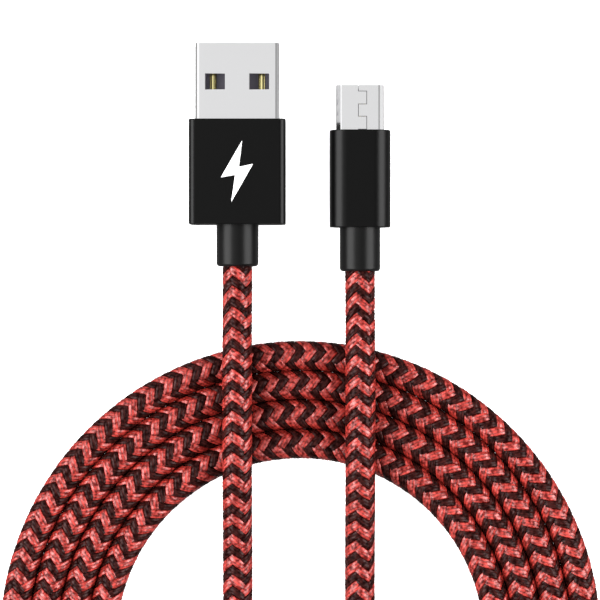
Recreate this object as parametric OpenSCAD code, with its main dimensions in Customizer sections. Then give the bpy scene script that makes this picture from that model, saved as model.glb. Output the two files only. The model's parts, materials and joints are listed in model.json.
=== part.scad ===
// Braided charging cable: a USB-A plug and a Micro-B plug on one metre of braided cord.
// +Y runs along both plugs towards their tips, +Z is up, and the cable lies on Z = 0.
// The origin is the bottom centre of the box that holds the two plugs.

/* [Plugs] */
// Distance between the axes of the two plugs
plug_spacing = 17.55; // [16:0.05:22]
// How far the Micro-B sleeve starts behind the USB-A sleeve
micro_setback = 1.5; // [0:0.1:4]
// Wall of both aluminium sleeves
sleeve_wall = 0.6; // [0.5:0.05:0.6]

/* [USB-A plug] */
// Width of the USB-A sleeve
a_sleeve_w = 13.8; // [13.8:0.1:15]
// Thickness of the USB-A sleeve
a_sleeve_t = 7.6; // [7.4:0.1:9]
// Length of the USB-A sleeve
a_sleeve_l = 15; // [14.8:0.1:17]
// Bare length of the USB-A shell in front of the sleeve
a_shell_out = 10.9; // [10.9:0.1:12]
// Diameter of the USB-A boot
a_boot_d = 6; // [5.4:0.1:6.2]
// Bare length of the USB-A boot behind the sleeve
a_boot_l = 6; // [5:0.1:9]

/* [Micro-B plug] */
// Width of the Micro-B sleeve
b_sleeve_w = 8.7; // [8.7:0.1:10]
// Thickness of the Micro-B sleeve
b_sleeve_t = 6.6; // [6.6:0.1:7.4]
// Length of the Micro-B sleeve
b_sleeve_l = 13.9; // [13.7:0.1:15]
// Bare length of the Micro-B shell in front of the sleeve
b_shell_out = 6.5; // [6.5:0.1:7]
// Diameter of the Micro-B boot
b_boot_d = 5.8; // [5.2:0.1:6]
// Bare length of the Micro-B boot behind the sleeve
b_boot_l = 6.3; // [5:0.1:9]

/* [Cord] */
// Diameter of the braided cord
cord_d = 4.2; // [4.2:0.1:4.2]
// Radius of the innermost turn, at the middle of the cord
inner_turn_r = 28.5; // [28.5:0.1:28.5]
// Turns that lie side by side in the coil
turns = 4; // [4:1:4]

/* [Hidden] */
$fn = 64;

// Places of the two plugs, so that the box around them is centred on the origin.
plugs_w = a_sleeve_w / 2 + plug_spacing + b_sleeve_w / 2;
a_x = a_sleeve_w / 2 - plugs_w / 2;
b_x = a_x + plug_spacing;
rear_of_both = max(a_sleeve_l + a_boot_l, micro_setback + b_sleeve_l + b_boot_l);
a_y = (rear_of_both - a_shell_out) / 2;
b_y = a_y - micro_setback;
a_z = a_sleeve_t / 2;
b_z = b_sleeve_t / 2;

// Gap between pieces that slide into each other, gap of a folded shell's seam, and how far
// a cutting shape runs past a face.
fit_gap = 0.05;
seam_gap = 0.08;
past = 1;

// The cord's layers, from the braid inwards.
jacket_d = 3.4;
shield_d = 2.5;
core_d = 2.15;
wire_d = 0.75;
wire_spot = 0.44;
conductor_d = 0.4;
conductor_lift = 0.04;
ferrule_d = 4;
ferrule_l = 1.4;
ferrule_back = 0.2;
braid_back = 0.6;
wire_sides = 10;
stub_sides = 48;

// A solder block's height, and how far it stops short of the contact's and the conductor's end.
solder_h = 0.3;
solder_back = 0.1;

// How far a boot's flange stands inside the sleeve's rear, and the round rim at its end.
flange_in = 0.1;
boot_rim = 0.5;

// USB-A plug, along its axis from the front face of its sleeve.
a_shell_w = 12;
a_shell_t = 4.5;
a_shell_wall = 0.3;
a_shell_r = 0.6;
a_shell_in = 5;
a_front_wall = 0.8;
a_sleeve_r = 0.9;
a_bore_r = a_sleeve_r - sleeve_wall;
a_chamber_r = 0.8;
a_window_w = 2.8;
a_window_l = 2.25;
a_window_x = 3.15;
a_window_from_tip = 5.55;
a_tongue_top = -0.05;
a_tongue_front = a_shell_out - 1;
a_block_front = a_shell_out - 9;
a_block_rear = -4;
a_contact_x = [-3.5, -1, 1, 3.5];
a_contact_front = [a_shell_out - 1.9, a_shell_out - 2.9, a_shell_out - 2.9, a_shell_out - 1.9];
a_contact_w = 1;
a_contact_t = 0.25;
a_contact_top = 0.05;
a_contact_nose = 0.8;
a_contact_rear = -6.2;
a_solder_w = 0.8;
a_tip_from = -6.6;
a_tip_to = -4.9;
a_flange_t = 1.9;
a_flange_front = -a_sleeve_l + flange_in + a_flange_t;
a_jacket_end = -11;
a_shield_end = -10.6;
a_chamber = [9.2, 4.4];
// A wire's bends: share of the way across, distance past the shield's end, share of the way up.
a_wire_bends = [[0.12, 0.7, 0.2], [0.5, 1.9, 0.6], [0.88, 3, 1]];
a_wire_straight = 0.45;

// Micro-B plug, along its axis from the front face of its sleeve.
b_shell_w = 6.85;
b_shell_t = 1.8;
b_shell_wall = 0.25;
b_shell_r = 0.3;
b_shell_inner_r = 0.1;
b_shell_in = 4.5;
b_front_wall = 0.8;
b_sleeve_r = 2.5;
b_bore_r = b_sleeve_r - sleeve_wall;
b_chamber_r = 1.2;
b_seam_x = [-0.25, 0.95];
b_seam_steps = [0, 0.9, 2.75, 4.5, 6.35, 8.1, b_shell_out + b_shell_in];
b_tongue_top = -0.1;
b_tongue_front = b_shell_out - 0.5;
b_block_front = b_shell_out - 5;
b_block_rear = -3.6;
b_contact_pitch = 0.65;
b_contact_w = 0.38;
b_contact_t = 0.15;
b_contact_top = -0.02;
b_contact_low = -0.35;
b_contact_rear = -6;
b_solder_w = 0.54;
b_tip_from = -6.2;
b_tip_to = -4.9;
b_flange_t = 1.8;
b_flange_front = -b_sleeve_l + flange_in + b_flange_t;
b_jacket_end = -9.7;
b_shield_end = -9.3;
b_chamber = [5.3, 4.3];
b_block_r = 0.05;
b_wire_bends = [[0.15, 0.6, 0.15], [0.5, 1.4, 0.5], [0.9, 2.2, 0.9]];
b_wire_straight = 0.35;

// Micro-B latches: a spring arm with a hook that stands out under the shell.
latch_x = 2.15;
latch_w = 0.5;
latch_arm_t = 0.2;
latch_arm_low = -0.6;
latch_pivot_y = -1.2;
latch_pivot_z = -0.42;
latch_pivot_r = 0.18;
latch_nose = [4.55, 3.3];
latch_drop = 0.42;
latch_gap = 0.08;
latch_lift = 0.46;
latch_roof = 0.25;
latch_hook_flat = [0.15, 0.45];
latch_hook_rest = 0.05;

// The coil: rings of cord side by side, and the middle of the coil.
coil_x = 1.5;
coil_y = -69.5;

// Route of the cord from the USB-A boot over the coil into its outermost turn, X, Y, Z.
tail_a_route = [
    [-7.5, -15.6, 3.8], [-7.5, -17.1, 3.8], [-7.5, -19.6, 4], [-7.5, -22.1, 4.6], [-7.5, -24.6, 5.3],
    [-7.5, -27.1, 5.9], [-7.5, -29.6, 6.3], [-7.5, -32.1, 6.4], [-7.5, -37.1, 6.4], [-7.5, -42.1, 6.3],
    [-7.5, -45.1, 6.1], [-7.5, -48.1, 5.4], [-7.5, -52.1, 4.2], [-7.5, -56.1, 2.9], [-7.5, -60.1, 2.2],
    [-7.5, -64.1, 2.1], [-7.5, -70.1, 2.1], [-7.5, -74.1, 2.3], [-7.5, -78.1, 3.3], [-7.5, -82.1, 4.6],
    [-7.5, -85.1, 5.5], [-7.5, -87.5, 6], [-7.1, -91.5, 6.4], [-5.9, -95.4, 6.4], [-3.9, -99, 6.4],
    [-1.2, -102.1, 6.4], [2, -104.5, 6.4], [5.7, -106.3, 6.4], [9.6, -107.3, 6.2], [13.6, -107.5, 5.5],
    [17.5, -106.9, 4.3], [21.1, -105.6, 3], [24.5, -103.5, 2.2], [27.8, -101.1, 2.1]
];

// Route of the cord from the Micro-B boot over the coil into its innermost turn, X, Y, Z.
tail_b_route = [
    [10.05, -16.3, 3.3], [10.05, -17.8, 3.3], [10.05, -20.6, 3.8], [10.05, -23, 4.6], [10.05, -25.6, 5.5],
    [10.05, -28, 6.1], [10.05, -30.6, 6.4], [10.05, -36, 6.4], [10.05, -42, 6.3], [10.05, -45, 6.1],
    [10.05, -48, 5.5], [10.05, -52, 4.2], [10.05, -56, 3], [10.05, -60, 2.2], [10.05, -64, 2.1],
    [10.05, -69, 2.1], [10.05, -74, 2.1], [9.5, -78.4, 2.1], [8, -82.5, 2.1], [5.5, -86.1, 2.1],
    [2.2, -89, 2.1], [-1.7, -91, 2.1], [-6, -92, 2.1], [-10.4, -91.9, 2.1], [-14.6, -90.8, 2.1],
    [-18.4, -88.7, 2.1], [-21.7, -85.7, 2.1], [-24.1, -82.1, 2.1]
];

// ---------- Helpers ----------

// A rectangle in X and Y with round corners, centred on the origin.
module round_rect(w, h, r) {
    square([w - 2 * r, h], center = true);
    square([w, h - 2 * r], center = true);
    for (sx = [-1, 1], sy = [-1, 1])
        translate([sx * (w / 2 - r), sy * (h / 2 - r)]) circle(r);
}

// Stands a flat outline in X and Z, and draws it out along Y from one place to another.
module along_y(from, to) {
    translate([0, to, 0]) rotate([90, 0, 0]) linear_extrude(to - from) children();
}

// A round rod along Y.
module rod_y(d, from, to) {
    translate([0, to, 0]) rotate([90, 0, 0]) cylinder(d = d, h = to - from);
}

// A round tube along Y.
module tube_y(outer_d, inner_d, from, to) {
    difference() {
        rod_y(outer_d, from, to, $fn = stub_sides);
        rod_y(inner_d, from - past, to + past, $fn = stub_sides);
    }
}

// A box from its lowest to its highest corner.
module box(low, high) {
    translate(low) cube(high - low);
}

module at_a() { translate([a_x, a_y, a_z]) children(); }
module at_b() { translate([b_x, b_y, b_z]) children(); }

// Rings of points square to a route, joined into one closed tube.
function unit(v) = v / norm(v);
function heading(route, i) =
    unit(route[min(i + 1, len(route) - 1)] - route[max(i - 1, 0)]);
function ring(middle, along, r, sides) =
    let (side = unit(cross(along, [0, 0, 1])), up = cross(side, along))
    [for (k = [0 : sides - 1])
        let (a = 360 * k / sides + 90) middle + r * (cos(a) * side + sin(a) * up)];
module tube_along(route, d, sides) {
    n = len(route);
    points = [for (i = [0 : n - 1]) each ring(route[i], heading(route, i), d / 2, sides)];
    walls = [for (i = [0 : n - 2], k = [0 : sides - 1])
        let (next = (k + 1) % sides)
        [i * sides + k, i * sides + next, (i + 1) * sides + next, (i + 1) * sides + k]];
    first_cap = [for (k = [sides - 1 : -1 : 0]) k];
    last_cap = [for (k = [0 : sides - 1]) (n - 1) * sides + k];
    polyhedron(points, concat([first_cap], walls, [last_cap]), convexity = 8);
}

// ---------- USB-A plug ----------

module a_shell_outline(grow) {
    round_rect(a_shell_w + 2 * grow, a_shell_t + 2 * grow, a_shell_r + grow);
}

module usb_a_shell() {
    window_y = a_shell_out - a_window_from_tip;
    color("gainsboro") at_a() difference() {
        along_y(-a_shell_in, a_shell_out) a_shell_outline(0);
        along_y(-a_shell_in - past, a_shell_out + past) a_shell_outline(-a_shell_wall);
        for (sx = [-1, 1])
            box([sx * a_window_x - a_window_w / 2, window_y - a_window_l / 2, -a_shell_t],
                [sx * a_window_x + a_window_w / 2, window_y + a_window_l / 2, a_shell_t]);
        box([-seam_gap / 2, -a_shell_in - past, -a_shell_t], [seam_gap / 2, a_shell_out + past, 0]);
    }
}

// One flat contact with its nose turned down into the tongue.
module a_contact(i) {
    x = a_contact_x[i];
    front = a_contact_front[i];
    box([x - a_contact_w / 2, a_contact_rear, a_contact_top - a_contact_t],
        [x + a_contact_w / 2, front, a_contact_top]);
    box([x - a_contact_w / 2, front - a_contact_t, a_contact_top - a_contact_nose],
        [x + a_contact_w / 2, front, a_contact_top - a_contact_t]);
}

module usb_a_contact(i) { color("gold") at_a() a_contact(i); }

module usb_a_insulator() {
    half_w = a_shell_w / 2 - a_shell_wall - fit_gap;
    half_t = a_shell_t / 2 - a_shell_wall - fit_gap;
    color("dimgray") at_a() difference() {
        union() {
            box([-half_w + 0.3, a_block_rear, -half_t], [half_w - 0.3, a_tongue_front, a_tongue_top]);
            box([-half_w + 0.3, a_block_rear, -half_t], [half_w - 0.3, a_block_front, half_t]);
        }
        for (i = [0 : 3]) a_contact(i);
    }
}

module a_conductor(i) {
    translate([a_contact_x[i], 0, a_contact_top + conductor_lift + conductor_d / 2])
        rod_y(conductor_d, a_tip_from, a_tip_to, $fn = 24);
}

module usb_a_conductor_tips() {
    color("chocolate") at_a() for (i = [0 : 3]) a_conductor(i);
}

// A block of solder on a flat face that points up or down, with the conductor's groove in it.
module solder(x, face, up, w, from, to) {
    box([x - w / 2, from + solder_back, up ? face : face - solder_h],
        [x + w / 2, to - solder_back, up ? face + solder_h : face]);
}

module usb_a_solder_joints() {
    color("silver") at_a() difference() {
        for (i = [0 : 3])
            solder(a_contact_x[i], a_contact_top, true, a_solder_w, a_contact_rear, a_tip_to);
        for (i = [0 : 3]) a_conductor(i);
    }
}

// A wire leaves its corner of the bundle at the shield's end and bends out to its contact.
module wire_run(corner, x1, z1, rear, shield_end, bends, tip_from, straight) {
    x0 = corner[0] * wire_spot;
    z0 = corner[1] * wire_spot;
    tube_along(concat(
        [[x0, rear, z0], [x0, shield_end, z0]],
        [for (b = bends) [x0 + (x1 - x0) * b[0], shield_end + b[1], z0 + (z1 - z0) * b[2]]],
        [[x1, tip_from - straight, z1], [x1, tip_from, z1]]
    ), wire_d, wire_sides);
}

module a_wire(corner, i) {
    wire_run(corner, a_contact_x[i], a_contact_top + conductor_lift + conductor_d / 2,
             -a_sleeve_l - a_boot_l, a_shield_end, a_wire_bends, a_tip_from, a_wire_straight);
}

module usb_a_wire_red() { color("red") at_a() a_wire([-1, 1], 0); }
module usb_a_wire_white() { color("white") at_a() a_wire([-1, -1], 1); }
module usb_a_wire_green() { color("green") at_a() a_wire([1, -1], 2); }
module usb_a_wire_black() { color("black") at_a() a_wire([1, 1], 3); }

module usb_a_cord_shield() {
    color("lightgray") at_a() tube_y(shield_d, core_d, -a_sleeve_l - a_boot_l, a_shield_end);
}
module usb_a_cord_jacket() {
    color("black") at_a() tube_y(jacket_d, shield_d, -a_sleeve_l - a_boot_l, a_jacket_end);
}
module usb_a_cord_braid() {
    color("firebrick") at_a() tube_y(cord_d, jacket_d, -a_sleeve_l - a_boot_l, a_flange_front - braid_back);
}
module usb_a_crimp_ferrule() {
    color("silver") at_a() tube_y(ferrule_d, jacket_d, a_jacket_end - ferrule_back - ferrule_l,
                           a_jacket_end - ferrule_back);
}

module usb_a_inner_mould() {
    w = a_sleeve_w - 2 * sleeve_wall - 2 * fit_gap;
    t = a_sleeve_t - 2 * sleeve_wall - 2 * fit_gap;
    color("darkslategray") at_a() difference() {
        along_y(a_flange_front, -a_front_wall - fit_gap) round_rect(w, t, a_bore_r - fit_gap);
        along_y(-a_shell_in - fit_gap, past) a_shell_outline(fit_gap / 2);
        along_y(a_flange_front - past, -a_shell_in - fit_gap)
            round_rect(a_chamber[0], a_chamber[1], a_chamber_r);
    }
}

module usb_a_sleeve() {
    w = a_sleeve_w - 2 * sleeve_wall;
    t = a_sleeve_t - 2 * sleeve_wall;
    color("black") at_a() difference() {
        along_y(-a_sleeve_l, 0) round_rect(a_sleeve_w, a_sleeve_t, a_sleeve_r);
        along_y(-a_sleeve_l - past, -a_front_wall) round_rect(w, t, a_bore_r);
        along_y(-a_front_wall - past, past) a_shell_outline(fit_gap);
    }
}

// A soft boot: a flange that fills the back of the sleeve, and a round neck with a soft end.
module boot(flange_w, flange_t, flange_r, from, front, neck_d, neck_l) {
    difference() {
        union() {
            along_y(from, front) round_rect(flange_w, flange_t, flange_r);
            rod_y(neck_d, from - neck_l + boot_rim, from);
            translate([0, from - neck_l + boot_rim, 0]) rotate([90, 0, 0]) rotate_extrude() union() {
                square([neck_d / 2 - boot_rim, boot_rim]);
                intersection() {
                    translate([neck_d / 2 - boot_rim, 0]) circle(boot_rim, $fn = 32);
                    square([neck_d / 2, boot_rim]);
                }
            }
        }
        rod_y(cord_d, from - neck_l - past, front - braid_back, $fn = stub_sides);
        rod_y(jacket_d, from - neck_l - past, front + past, $fn = stub_sides);
    }
}

module usb_a_boot() {
    gap = 2 * sleeve_wall + 2 * fit_gap;
    color("black") at_a()
        boot(a_sleeve_w - gap, a_sleeve_t - gap, a_bore_r - fit_gap, -a_sleeve_l + flange_in,
             a_flange_front, a_boot_d, a_boot_l + flange_in);
}

// ---------- Micro-B plug ----------

// The outline's corners on the right, from the bottom up, at a distance inside the outer face.
// The top face is the narrow one, with a slope down to each side.
b_slope_x = 2.75;
b_slope_z = 0.25;
b_slope_share = 0.45;
function b_half(inset) = [
    [b_shell_w / 2 - inset, -b_shell_t / 2 + inset],
    [b_shell_w / 2 - inset, b_slope_z - inset * b_slope_share],
    [b_slope_x - inset * b_slope_share, b_shell_t / 2 - inset]
];
// A convex outline with each corner cut to a short arc.
function arc_corner(before, corner, after, r) =
    let (u = unit(before - corner), v = unit(after - corner),
         half = acos(u * v) / 2, reach = r / tan(half),
         middle = corner + unit(u + v) * r / sin(half),
         a0 = corner + u * reach - middle, a1 = corner + v * reach - middle)
    [for (k = [0 : 4])
        let (t = k / 4, w0 = sin((1 - t) * (180 - 2 * half)), w1 = sin(t * (180 - 2 * half)))
        middle + (a0 * w0 + a1 * w1) / sin(180 - 2 * half)];
module b_outline(inset, r) {
    right = b_half(inset);
    corners = concat(right, [for (i = [len(right) - 1 : -1 : 0]) [-right[i][0], right[i][1]]]);
    n = len(corners);
    polygon([for (i = [0 : n - 1])
        each arc_corner(corners[(i + n - 1) % n], corners[i], corners[(i + 1) % n], r)]);
}

// The stepped seam where the folded strip meets itself, cut through the top wall.
module b_seam() {
    for (i = [0 : len(b_seam_steps) - 2]) {
        x = b_seam_x[i % 2];
        near = b_shell_out - b_seam_steps[i];
        far = b_shell_out - b_seam_steps[i + 1];
        box([x - seam_gap / 2, far - seam_gap / 2, 0], [x + seam_gap / 2, near + seam_gap / 2, past]);
        box([b_seam_x[0] - seam_gap / 2, far - seam_gap / 2, 0],
            [b_seam_x[1] + seam_gap / 2, far + seam_gap / 2, past]);
    }
}

module micro_b_shell() {
    color("gainsboro") at_b() difference() {
        along_y(-b_shell_in, b_shell_out) b_outline(0, b_shell_r);
        along_y(-b_shell_in - past, b_shell_out + past) b_outline(b_shell_wall, b_shell_inner_r);
        b_seam();
        for (sx = [-1, 1])
            box([sx * latch_x - latch_w / 2 - latch_gap, latch_nose[1] - 2 * latch_gap, -past],
                [sx * latch_x + latch_w / 2 + latch_gap, latch_nose[0] + 2 * latch_gap, 0]);
    }
}

// Contacts 1, 3 and 5 run straight back. Contacts 2 and 4 step down inside the block.
module b_contact(i) {
    front = b_tongue_front - (i % 4 == 0 ? 0.4 : 0.8);
    step_y = b_block_front - 1.5;
    low = i % 2 == 1;
    translate([(i - 2) * b_contact_pitch - b_contact_w / 2, 0, 0])
        rotate([90, 0, 90]) linear_extrude(b_contact_w) union() {
            translate([low ? step_y : b_contact_rear, b_contact_top - b_contact_t])
                square([front - (low ? step_y : b_contact_rear), b_contact_t]);
            if (low) {
                translate([step_y, b_contact_low - b_contact_t])
                    square([b_contact_t, b_contact_top - b_contact_low + b_contact_t]);
                translate([b_contact_rear, b_contact_low - b_contact_t])
                    square([step_y - b_contact_rear + b_contact_t, b_contact_t]);
            }
        }
}

module micro_b_contact(i) { color("gold") at_b() b_contact(i); }

module micro_b_insulator() {
    color("dimgray") at_b() difference() {
        intersection() {
            along_y(b_block_rear, b_tongue_front) b_outline(b_shell_wall + fit_gap, b_block_r);
            union() {
                box([-b_shell_w, b_block_rear - past, -past], [b_shell_w, b_block_front, past]);
                box([-b_shell_w, b_block_rear - past, -past],
                    [b_shell_w, b_tongue_front + past, b_tongue_top]);
            }
        }
        for (i = [0 : 4]) b_contact(i);
        for (sx = [-1, 1])
            box([sx * latch_x - latch_w / 2 - latch_gap, latch_pivot_y - latch_pivot_r - latch_gap, -past],
                [sx * latch_x + latch_w / 2 + latch_gap, b_tongue_front + past, latch_lift - latch_roof]);
    }
}

// A latch in the YZ plane: a round root, a straight arm, and a hook with a sloping front.
module latch(side) {
    arm_top = latch_arm_low + latch_arm_t;
    color("silver") at_b() translate([side * latch_x - latch_w / 2, 0, 0])
        rotate([90, 0, 90]) linear_extrude(latch_w) union() {
            translate([latch_pivot_y, latch_pivot_z]) circle(latch_pivot_r, $fn = 32);
            polygon([
                [latch_pivot_y, latch_arm_low], [latch_nose[1], latch_arm_low],
                [latch_nose[1] + latch_hook_flat[0], -b_shell_t / 2 - latch_drop],
                [latch_nose[1] + latch_hook_flat[1], -b_shell_t / 2 - latch_drop],
                [latch_nose[0], -b_shell_t / 2 + latch_hook_rest], [latch_nose[0], arm_top],
                [latch_pivot_y, arm_top]
            ]);
        }
}

module micro_b_latch_left() { latch(-1); }
module micro_b_latch_right() { latch(1); }

// Contact, height of the wire's conductor and corner of the bundle for each of the four wires.
b_wire_above = b_contact_top + conductor_lift + conductor_d / 2;
b_wire_below = b_contact_low - b_contact_t - conductor_lift - conductor_d / 2;
b_wires = [
    [0, b_wire_above, [-1, 1]],
    [1, b_wire_below, [-1, -1]],
    [2, b_wire_above, [1, -1]],
    [4, b_wire_above, [1, 1]]
];
function b_contact_x(i) = (i - 2) * b_contact_pitch;

module b_conductor(wire) {
    translate([b_contact_x(wire[0]), 0, wire[1]]) rod_y(conductor_d, b_tip_from, b_tip_to, $fn = 24);
}

module micro_b_conductor_tips() {
    color("chocolate") at_b() for (wire = b_wires) b_conductor(wire);
}

module micro_b_solder_joints() {
    color("silver") at_b() difference() {
        for (wire = b_wires) {
            above = wire[1] > b_contact_low;
            solder(b_contact_x(wire[0]), above ? b_contact_top : b_contact_low - b_contact_t, above,
                   b_solder_w, b_contact_rear, b_tip_to);
        }
        for (wire = b_wires) b_conductor(wire);
    }
}

module b_wire(wire) {
    wire_run(wire[2], b_contact_x(wire[0]), wire[1], -b_sleeve_l - b_boot_l, b_shield_end,
             b_wire_bends, b_tip_from, b_wire_straight);
}

module micro_b_wire_red() { color("red") at_b() b_wire(b_wires[0]); }
module micro_b_wire_white() { color("white") at_b() b_wire(b_wires[1]); }
module micro_b_wire_green() { color("green") at_b() b_wire(b_wires[2]); }
module micro_b_wire_black() { color("black") at_b() b_wire(b_wires[3]); }

module micro_b_cord_shield() {
    color("lightgray") at_b() tube_y(shield_d, core_d, -b_sleeve_l - b_boot_l, b_shield_end);
}
module micro_b_cord_jacket() {
    color("black") at_b() tube_y(jacket_d, shield_d, -b_sleeve_l - b_boot_l, b_jacket_end);
}
module micro_b_cord_braid() {
    color("firebrick") at_b() tube_y(cord_d, jacket_d, -b_sleeve_l - b_boot_l, b_flange_front - braid_back);
}
module micro_b_crimp_ferrule() {
    color("silver") at_b() tube_y(ferrule_d, jacket_d, b_jacket_end - ferrule_back - ferrule_l,
                           b_jacket_end - ferrule_back);
}

module micro_b_inner_mould() {
    w = b_sleeve_w - 2 * sleeve_wall - 2 * fit_gap;
    t = b_sleeve_t - 2 * sleeve_wall - 2 * fit_gap;
    color("darkslategray") at_b() difference() {
        along_y(b_flange_front, -b_front_wall - fit_gap) round_rect(w, t, b_bore_r - fit_gap);
        along_y(-b_shell_in - fit_gap, past) b_outline(-fit_gap / 2, b_shell_r);
        along_y(b_flange_front - past, -b_shell_in - fit_gap)
            round_rect(b_chamber[0], b_chamber[1], b_chamber_r);
    }
}

module micro_b_sleeve() {
    w = b_sleeve_w - 2 * sleeve_wall;
    t = b_sleeve_t - 2 * sleeve_wall;
    color("black") at_b() difference() {
        along_y(-b_sleeve_l, 0) round_rect(b_sleeve_w, b_sleeve_t, b_sleeve_r);
        along_y(-b_sleeve_l - past, -b_front_wall) round_rect(w, t, b_bore_r);
        along_y(-b_front_wall - past, past) b_outline(-fit_gap, b_shell_r);
    }
}

module micro_b_boot() {
    gap = 2 * sleeve_wall + 2 * fit_gap;
    color("black") at_b()
        boot(b_sleeve_w - gap, b_sleeve_t - gap, b_bore_r - fit_gap, -b_sleeve_l + flange_in,
             b_flange_front, b_boot_d, b_boot_l + flange_in);
}

// ---------- Cord ----------

module cord_tail_usb_a() { color("firebrick") tube_along(tail_a_route, cord_d, 12); }
module cord_tail_micro_b() { color("firebrick") tube_along(tail_b_route, cord_d, 12); }

// The outer shape of the turns that lie side by side, with a round inner and outer edge.
module cord_coil() {
    color("firebrick") translate([coil_x, coil_y, 0]) rotate_extrude($fn = 180)
        union() {
            translate([inner_turn_r, 0]) square([(turns - 1) * cord_d, cord_d]);
            for (r = [inner_turn_r, inner_turn_r + (turns - 1) * cord_d])
                translate([r, cord_d / 2]) circle(d = cord_d, $fn = 32);
        }
}

// ---------- Nodes ----------

usb_a_shell();
usb_a_insulator();
usb_a_contact(0);  // usb_a_contact_vbus
usb_a_contact(1);  // usb_a_contact_data_minus
usb_a_contact(2);  // usb_a_contact_data_plus
usb_a_contact(3);  // usb_a_contact_ground
usb_a_solder_joints();
usb_a_conductor_tips();
usb_a_wire_red();
usb_a_wire_white();
usb_a_wire_green();
usb_a_wire_black();
usb_a_cord_shield();
usb_a_cord_jacket();
usb_a_cord_braid();
usb_a_crimp_ferrule();
usb_a_inner_mould();
usb_a_sleeve();
usb_a_boot();
micro_b_shell();
micro_b_insulator();
micro_b_contact(0);  // micro_b_contact_vbus
micro_b_contact(1);  // micro_b_contact_data_minus
micro_b_contact(2);  // micro_b_contact_data_plus
micro_b_contact(3);  // micro_b_contact_id
micro_b_contact(4);  // micro_b_contact_ground
micro_b_latch_left();
micro_b_latch_right();
micro_b_solder_joints();
micro_b_conductor_tips();
micro_b_wire_red();
micro_b_wire_white();
micro_b_wire_green();
micro_b_wire_black();
micro_b_cord_shield();
micro_b_cord_jacket();
micro_b_cord_braid();
micro_b_crimp_ferrule();
micro_b_inner_mould();
micro_b_sleeve();
micro_b_boot();
cord_tail_usb_a();
cord_coil();
cord_tail_micro_b();
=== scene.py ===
"""A braided charging cable with a USB-A and a Micro-B plug: its looks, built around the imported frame.

Lengths are in metres in the row's frame: +Y runs along both plugs towards their tips and +Z is up.
"""

import json
import logging
import math
from dataclasses import dataclass
from enum import Enum
from typing import ClassVar, Iterable, Sequence

import bmesh
import bpy
import numpy as np
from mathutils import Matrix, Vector

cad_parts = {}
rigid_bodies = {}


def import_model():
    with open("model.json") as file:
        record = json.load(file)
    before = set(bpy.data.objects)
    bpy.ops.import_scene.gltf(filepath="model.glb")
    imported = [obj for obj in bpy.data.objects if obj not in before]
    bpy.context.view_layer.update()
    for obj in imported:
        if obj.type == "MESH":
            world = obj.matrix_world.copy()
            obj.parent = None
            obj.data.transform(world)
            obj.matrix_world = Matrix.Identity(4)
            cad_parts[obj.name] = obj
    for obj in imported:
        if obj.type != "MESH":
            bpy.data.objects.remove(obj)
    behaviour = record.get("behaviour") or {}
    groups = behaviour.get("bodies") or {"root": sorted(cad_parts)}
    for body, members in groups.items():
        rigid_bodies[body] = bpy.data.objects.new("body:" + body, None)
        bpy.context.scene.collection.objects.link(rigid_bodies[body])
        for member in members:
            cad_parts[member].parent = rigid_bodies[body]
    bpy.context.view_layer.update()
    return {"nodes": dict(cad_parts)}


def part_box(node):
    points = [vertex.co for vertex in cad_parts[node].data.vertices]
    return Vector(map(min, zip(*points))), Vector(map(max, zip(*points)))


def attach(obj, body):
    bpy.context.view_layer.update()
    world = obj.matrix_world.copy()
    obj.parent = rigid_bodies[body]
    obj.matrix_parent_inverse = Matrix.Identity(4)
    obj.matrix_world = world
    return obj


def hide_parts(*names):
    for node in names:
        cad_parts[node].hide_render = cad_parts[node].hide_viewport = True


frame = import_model()

MM = 0.001
SEED = 7
BODY = "cable"
TINY = 1e-7
Span = tuple[float, float]
log = logging.getLogger("charging_cable")

# The cord's route from the USB-A boot over the coil into its outermost turn, in millimetres.
TAIL_A_ROUTE = [
    (-7.5, -15.6, 3.8), (-7.5, -17.1, 3.8), (-7.5, -19.6, 4), (-7.5, -22.1, 4.6), (-7.5, -24.6, 5.3),
    (-7.5, -27.1, 5.9), (-7.5, -29.6, 6.3), (-7.5, -32.1, 6.4), (-7.5, -37.1, 6.4), (-7.5, -42.1, 6.3),
    (-7.5, -45.1, 6.1), (-7.5, -48.1, 5.4), (-7.5, -52.1, 4.2), (-7.5, -56.1, 2.9), (-7.5, -60.1, 2.2),
    (-7.5, -64.1, 2.1), (-7.5, -70.1, 2.1), (-7.5, -74.1, 2.3), (-7.5, -78.1, 3.3), (-7.5, -82.1, 4.6),
    (-7.5, -85.1, 5.5), (-7.5, -87.5, 6), (-7.1, -91.5, 6.4), (-5.9, -95.4, 6.4), (-3.9, -99, 6.4),
    (-1.2, -102.1, 6.4), (2, -104.5, 6.4), (5.7, -106.3, 6.4), (9.6, -107.3, 6.2), (13.6, -107.5, 5.5),
    (17.5, -106.9, 4.3), (21.1, -105.6, 3), (24.5, -103.5, 2.2), (27.8, -101.1, 2.1),
]
# The route from the Micro-B boot over the coil into its innermost turn, in millimetres.
TAIL_B_ROUTE = [
    (10.05, -16.3, 3.3), (10.05, -17.8, 3.3), (10.05, -20.6, 3.8), (10.05, -23, 4.6), (10.05, -25.6, 5.5),
    (10.05, -28, 6.1), (10.05, -30.6, 6.4), (10.05, -36, 6.4), (10.05, -42, 6.3), (10.05, -45, 6.1),
    (10.05, -48, 5.5), (10.05, -52, 4.2), (10.05, -56, 3), (10.05, -60, 2.2), (10.05, -64, 2.1),
    (10.05, -69, 2.1), (10.05, -74, 2.1), (9.5, -78.4, 2.1), (8, -82.5, 2.1), (5.5, -86.1, 2.1),
    (2.2, -89, 2.1), (-1.7, -91, 2.1), (-6, -92, 2.1), (-10.4, -91.9, 2.1), (-14.6, -90.8, 2.1),
    (-18.4, -88.7, 2.1), (-21.7, -85.7, 2.1), (-24.1, -82.1, 2.1),
]


# ---------------------------------------------------------------- materials


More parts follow.
